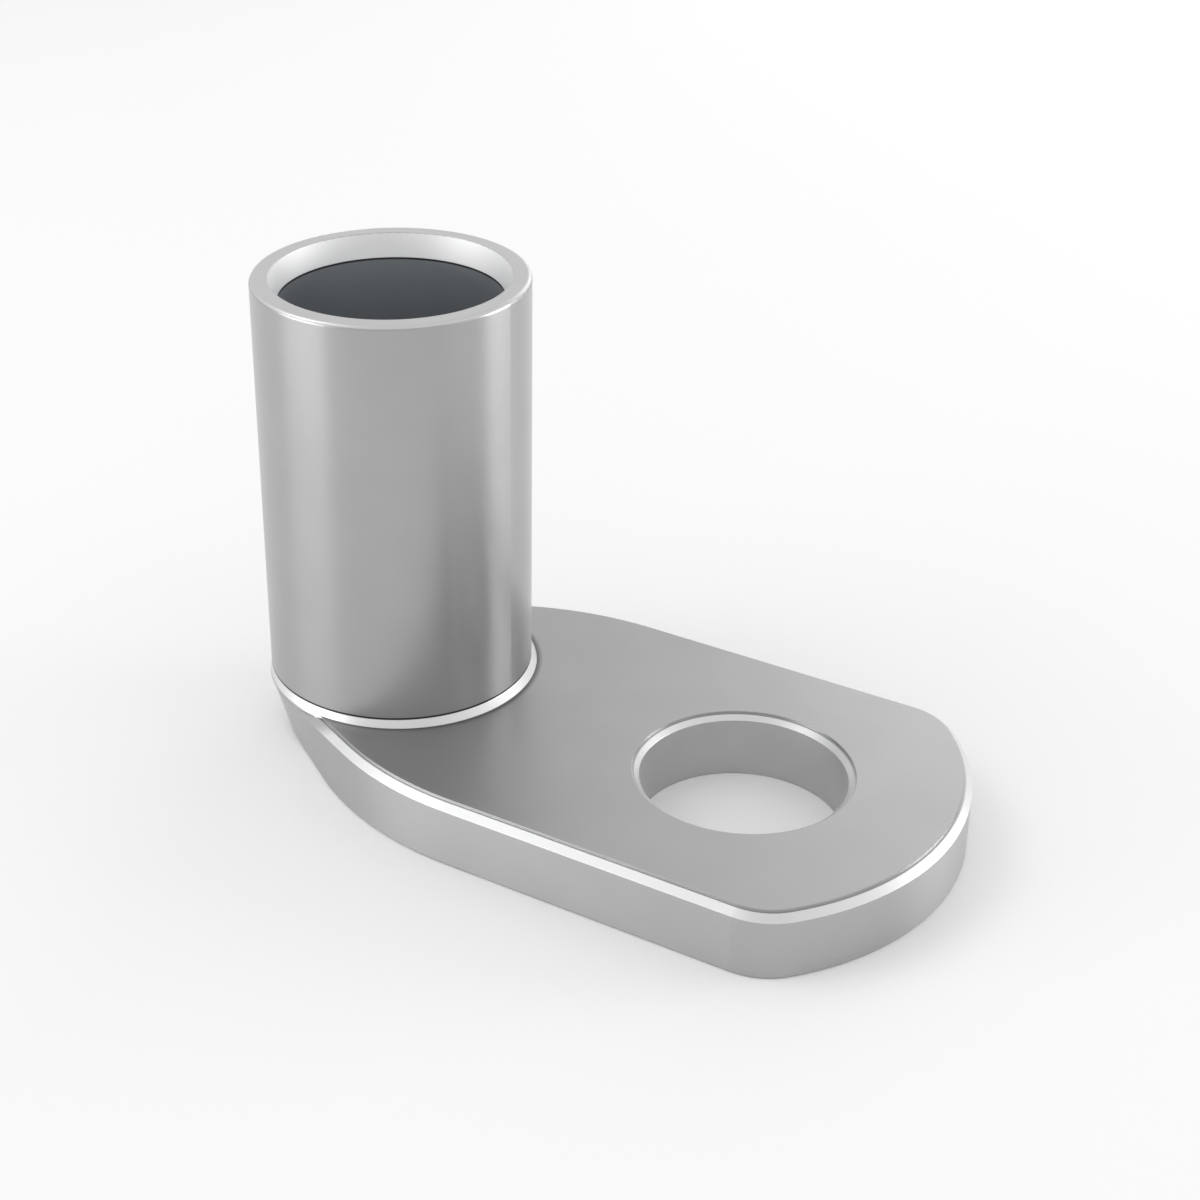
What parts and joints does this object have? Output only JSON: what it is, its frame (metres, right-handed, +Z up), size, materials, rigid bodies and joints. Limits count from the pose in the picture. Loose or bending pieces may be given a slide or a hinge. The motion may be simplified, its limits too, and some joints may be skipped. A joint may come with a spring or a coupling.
{
  "type": "angled cable lug",
  "caption": "Angled cable lug: an upright crimp barrel on a flat palm with a stud hole, for fixing the bare end of a heavy cable to a bolted terminal.",
  "frame": {"origin": "centre of the stud hole on the contact face, the palm's flat underside", "axes": "+X from the barrel towards the palm's tip, +Z up along the stud hole and the barrel, the barrel standing at -X"},
  "size_m": [0.0485, 0.0262, 0.0319],
  "materials": {
    "tin_plate": "satin tin plate on copper"
  },
  "bodies": {
    "root": {"cable_lug": "tin_plate"}
  },
  "joints": []
}
